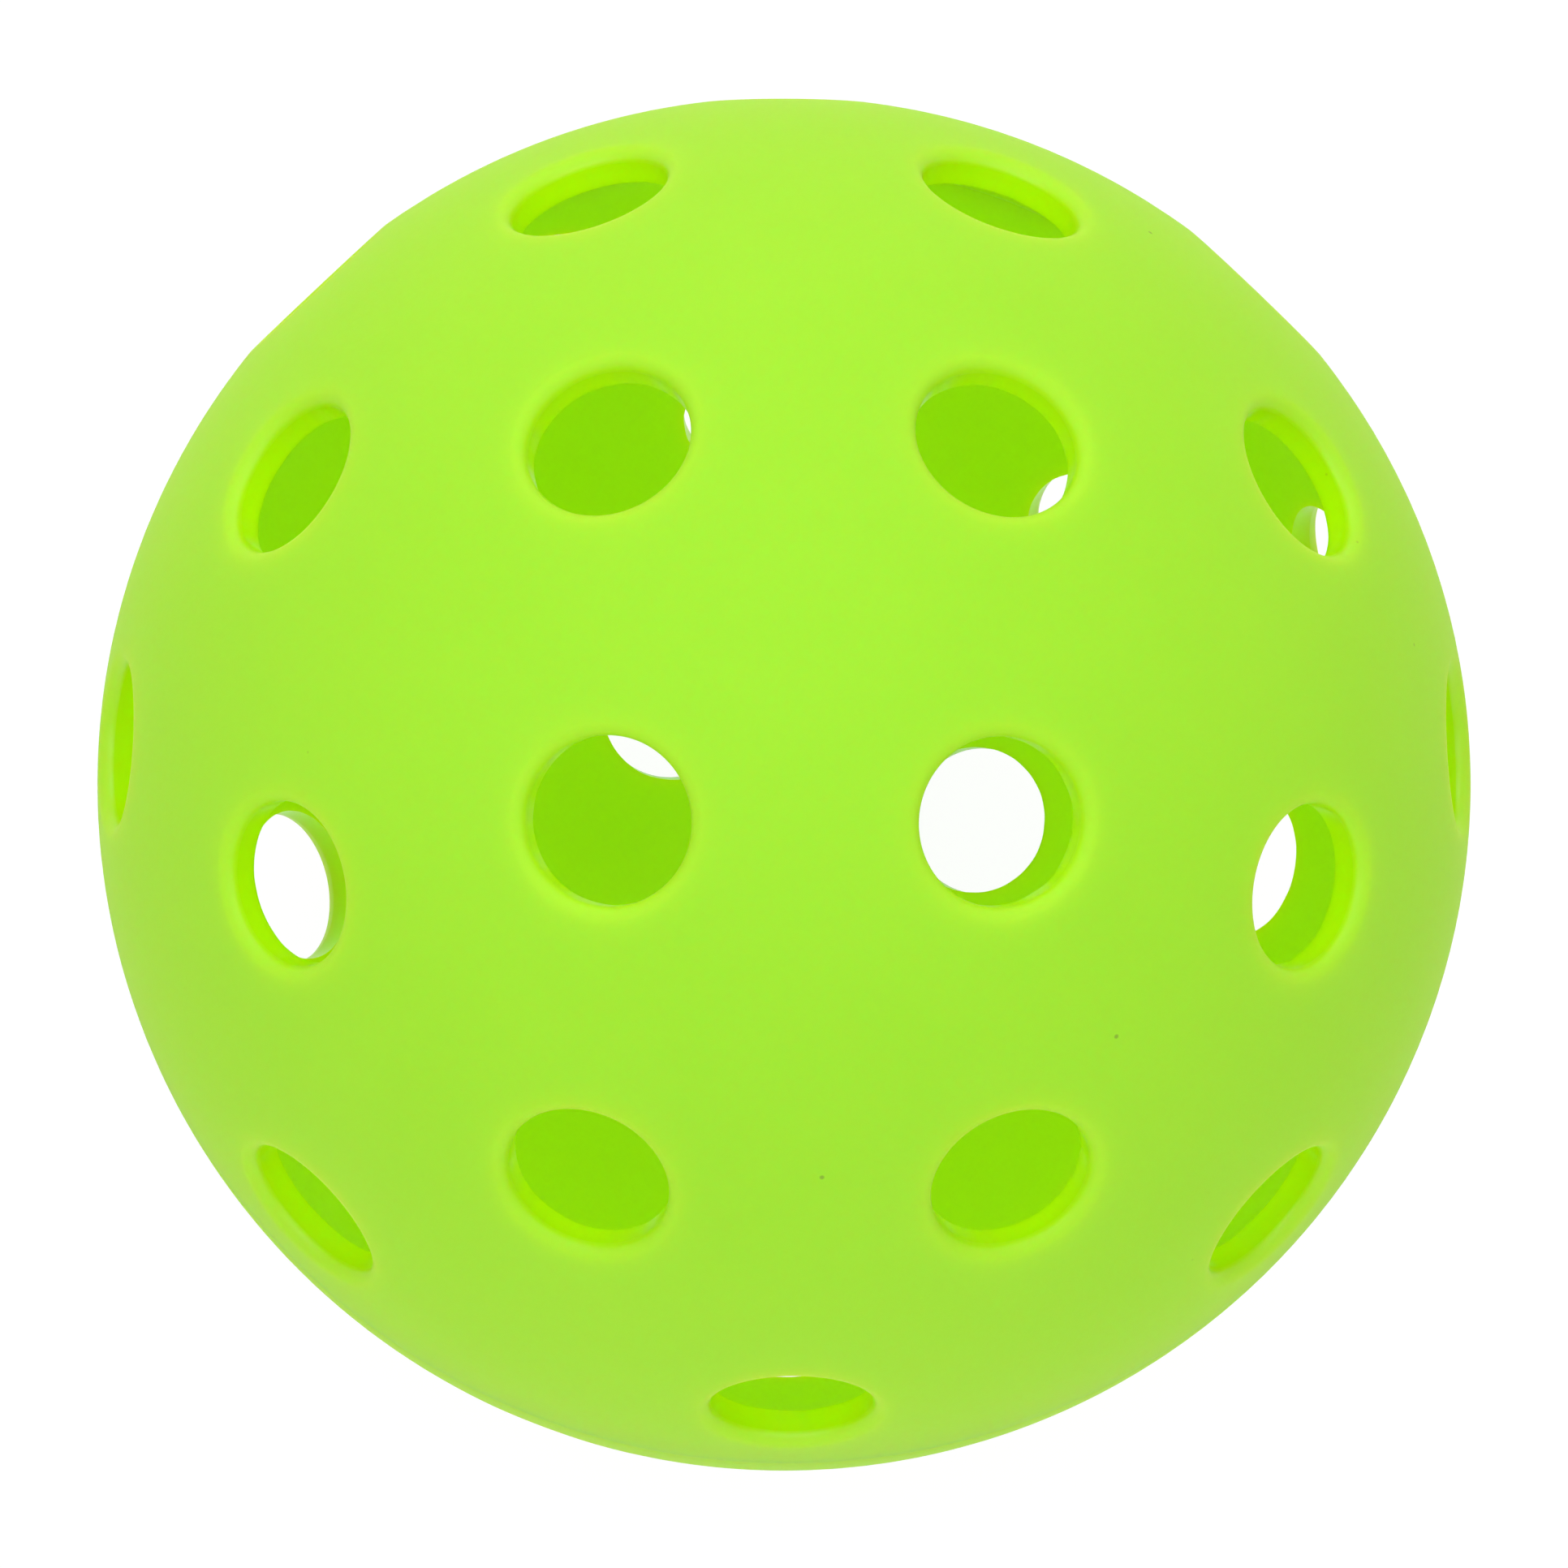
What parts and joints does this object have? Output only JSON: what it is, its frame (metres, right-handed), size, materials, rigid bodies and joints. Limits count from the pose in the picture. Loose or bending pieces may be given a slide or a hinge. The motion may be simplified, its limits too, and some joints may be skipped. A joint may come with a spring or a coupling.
{
  "type": "pickleball",
  "caption": "Hollow perforated plastic ball of welded half shells with rounded hole rims, struck with a paddle in outdoor pickleball.",
  "frame": {"origin": "centre of the ball, on the joint plane between the half shells", "axes": "+Z along the moulding axis through the solid pole of the upper half shell, +X through a hole of that half's ring nearest the joint"},
  "size_m": [0.074, 0.074, 0.074],
  "materials": {
    "shell": "satin lime-green polyethylene, a little translucent",
    "weld": "smooth melted polyethylene"
  },
  "bodies": {
    "root": {"upper_half_shell": "shell", "lower_half_shell": "shell", "weld_ring": "weld"}
  },
  "joints": []
}
